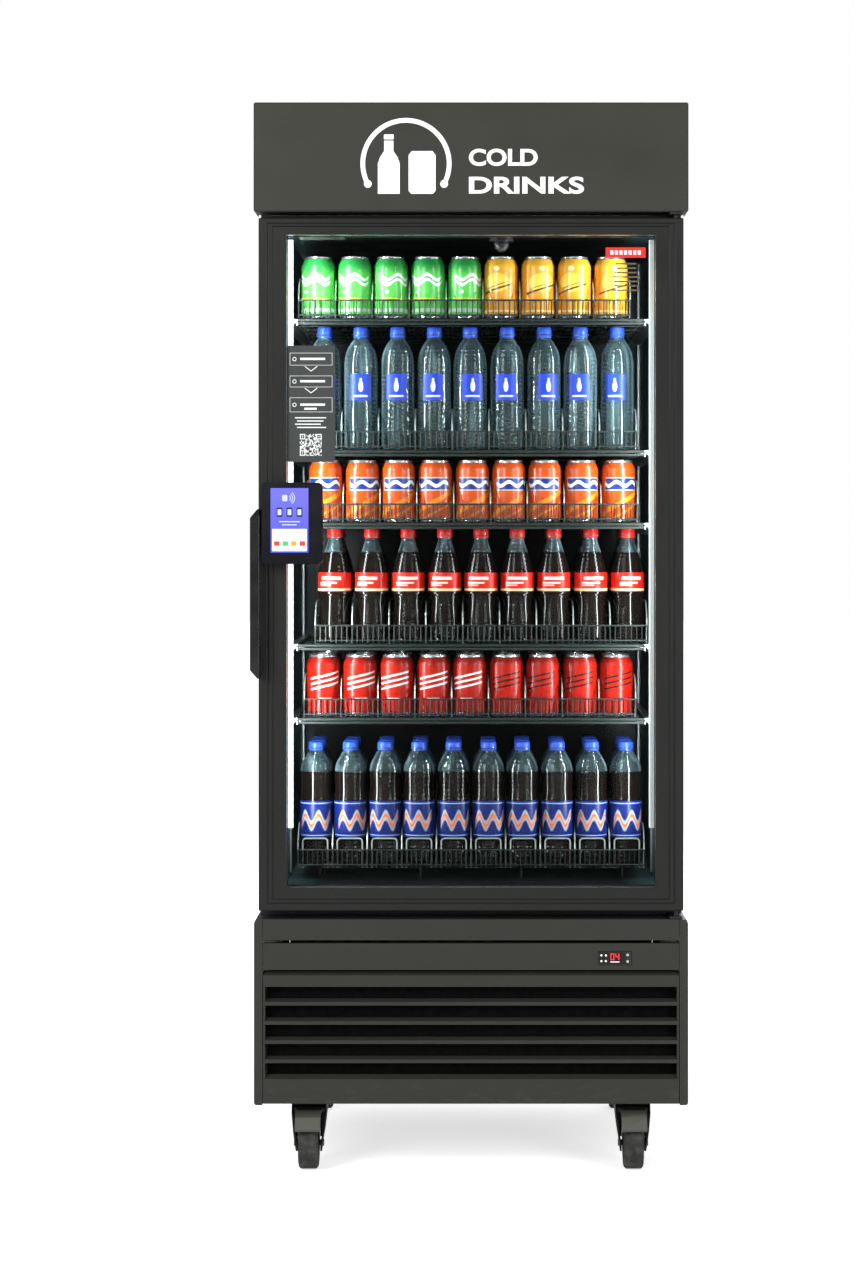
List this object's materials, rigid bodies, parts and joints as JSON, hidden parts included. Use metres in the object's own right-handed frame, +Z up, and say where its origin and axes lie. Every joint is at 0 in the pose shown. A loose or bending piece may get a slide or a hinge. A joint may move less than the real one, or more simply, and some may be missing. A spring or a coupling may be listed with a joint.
{
  "type": "glass-door vending cabinet",
  "caption": "Refrigerated self-service drinks cabinet with a glass door, wire shelves, payment terminal, louvred machine base and four swivel casters.",
  "frame": {"origin": "centre of the overall footprint, on the floor the casters stand on", "axes": "+X to the viewer's right facing the door, +Y to the back, +Z up"},
  "size_m": [0.8396, 0.798, 2.065],
  "materials": {
    "charcoal_paint": "satin",
    "galvanised": "satin",
    "insulation": "matte",
    "dark_lining": "satin",
    "black_plastic": "satin",
    "black_steel": "satin",
    "button_plastic": "satin",
    "black_fins": "satin",
    "aluminium_blade": "satin",
    "bright_fins": "satin",
    "coated_wire": "satin",
    "bright_bracket": "satin",
    "light_diffuser": "satin",
    "clear_glass": "polished",
    "gasket_rubber": "matte",
    "terminal_gloss": "gloss",
    "screen_glass": "polished",
    "wheel_tread": "matte",
    "pedal_steel": "satin"
  },
  "bodies": {
    "cabinet": {"cabinet_wrapper": "charcoal_paint", "rear_panel": "galvanised", "cabinet_foam": "insulation", "cabinet_liner": "dark_lining", "face_frame": "black_plastic", "header_panel": "charcoal_paint", "control_computer": "black_steel", "base_chassis": "charcoal_paint", "control_fascia": "charcoal_paint", "grille_panel": "charcoal_paint", "rear_grille": "black_steel", "controller_housing": "black_plastic", "compressor": "black_steel", "condenser_coil": "black_fins", "condenser_fan_shroud": "black_steel", "drip_tray": "black_plastic", "power_inlet": "black_plastic", "evaporator_cover": "dark_lining", "evaporator_coil": "bright_fins", "shelf_1": "coated_wire", "shelf_2": "coated_wire", "shelf_3": "coated_wire", "shelf_4": "coated_wire", "shelf_5": "coated_wire", "lane_rack_1": "coated_wire", "lane_rack_2": "coated_wire", "lane_rack_3": "coated_wire", "lane_rack_4": "coated_wire", "lane_rack_5": "coated_wire", "floor_rack": "coated_wire", "side_frame_left": "bright_bracket", "side_frame_right": "bright_bracket", "led_strip_left": "light_diffuser", "led_strip_right": "light_diffuser", "ceiling_camera": "black_plastic", "lock_magnet": "bright_bracket", "hinge_bracket_bottom": "bright_bracket", "hinge_bracket_top": "bright_bracket"},
    "door": {"door_frame": "charcoal_paint", "door_glass_outer": "clear_glass", "door_glass_inner": "clear_glass", "door_gasket": "gasket_rubber", "door_handle": "black_plastic", "lock_armature": "bright_bracket", "terminal_housing": "terminal_gloss", "terminal_screen": "screen_glass"},
    "button_up": {"controller_button_up": "button_plastic"},
    "button_down": {"controller_button_down": "button_plastic"},
    "condenser_fan": {"condenser_fan_blade": "aluminium_blade"},
    "evaporator_fan": {"evaporator_fan_blade": "black_plastic"},
    "fork_front_left": {"caster_fork_front_left": "black_steel"},
    "wheel_front_left": {"caster_wheel_front_left": "wheel_tread"},
    "pedal_left": {"brake_pedal_left": "pedal_steel"},
    "fork_front_right": {"caster_fork_front_right": "black_steel"},
    "wheel_front_right": {"caster_wheel_front_right": "wheel_tread"},
    "pedal_right": {"brake_pedal_right": "pedal_steel"},
    "fork_rear_left": {"caster_fork_rear_left": "black_steel"},
    "wheel_rear_left": {"caster_wheel_rear_left": "wheel_tread"},
    "fork_rear_right": {"caster_fork_rear_right": "black_steel"},
    "wheel_rear_right": {"caster_wheel_rear_right": "wheel_tread"}
  },
  "joints": [
    {"name": "door_hinge", "type": "hinge", "parent": "cabinet", "child": "door", "pos_m": [0.394, -0.345, 0.503], "axis": [0, 0, 1], "range_deg": [0, 105], "stiffness_Nm_per_rad": 3, "springref_deg": -20.05},
    {"name": "button_up_press", "type": "slide", "parent": "cabinet", "child": "button_up", "axis": [0, 1, 0], "range_m": [0, 0.0008], "stiffness_N_per_m": 500},
    {"name": "button_down_press", "type": "slide", "parent": "cabinet", "child": "button_down", "axis": [0, 1, 0], "range_m": [0, 0.0008], "stiffness_N_per_m": 500},
    {"name": "condenser_fan_spin", "type": "hinge", "parent": "cabinet", "child": "condenser_fan", "pos_m": [-0.14, -0.251, 0.312], "axis": [0, 1, 0], "continuous": true},
    {"name": "evaporator_fan_spin", "type": "hinge", "parent": "cabinet", "child": "evaporator_fan", "pos_m": [0, 0.318, 1.712], "axis": [0, 1, 0], "continuous": true},
    {"name": "swivel_front_left", "type": "hinge", "parent": "cabinet", "child": "fork_front_left", "pos_m": [-0.3155, -0.249, 0.13], "axis": [0, 0, 1], "continuous": true},
    {"name": "roll_front_left", "type": "hinge", "parent": "fork_front_left", "child": "wheel_front_left", "pos_m": [-0.3155, -0.287, 0.05], "axis": [1, 0, 0], "continuous": true},
    {"name": "brake_left", "type": "hinge", "parent": "fork_front_left", "child": "pedal_left", "pos_m": [-0.3155, -0.279, 0.112], "axis": [1, 0, 0], "range_deg": [0, 10]},
    {"name": "swivel_front_right", "type": "hinge", "parent": "cabinet", "child": "fork_front_right", "pos_m": [0.3155, -0.249, 0.13], "axis": [0, 0, 1], "continuous": true},
    {"name": "roll_front_right", "type": "hinge", "parent": "fork_front_right", "child": "wheel_front_right", "pos_m": [0.3155, -0.287, 0.05], "axis": [1, 0, 0], "continuous": true},
    {"name": "brake_right", "type": "hinge", "parent": "fork_front_right", "child": "pedal_right", "pos_m": [0.3155, -0.279, 0.112], "axis": [1, 0, 0], "range_deg": [0, 10]},
    {"name": "swivel_rear_left", "type": "hinge", "parent": "cabinet", "child": "fork_rear_left", "pos_m": [-0.3155, 0.281, 0.13], "axis": [0, 0, 1], "continuous": true},
    {"name": "roll_rear_left", "type": "hinge", "parent": "fork_rear_left", "child": "wheel_rear_left", "pos_m": [-0.3155, 0.243, 0.05], "axis": [1, 0, 0], "continuous": true},
    {"name": "swivel_rear_right", "type": "hinge", "parent": "cabinet", "child": "fork_rear_right", "pos_m": [0.3155, 0.281, 0.13], "axis": [0, 0, 1], "continuous": true},
    {"name": "roll_rear_right", "type": "hinge", "parent": "fork_rear_right", "child": "wheel_rear_right", "pos_m": [0.3155, 0.243, 0.05], "axis": [1, 0, 0], "continuous": true}
  ]
}
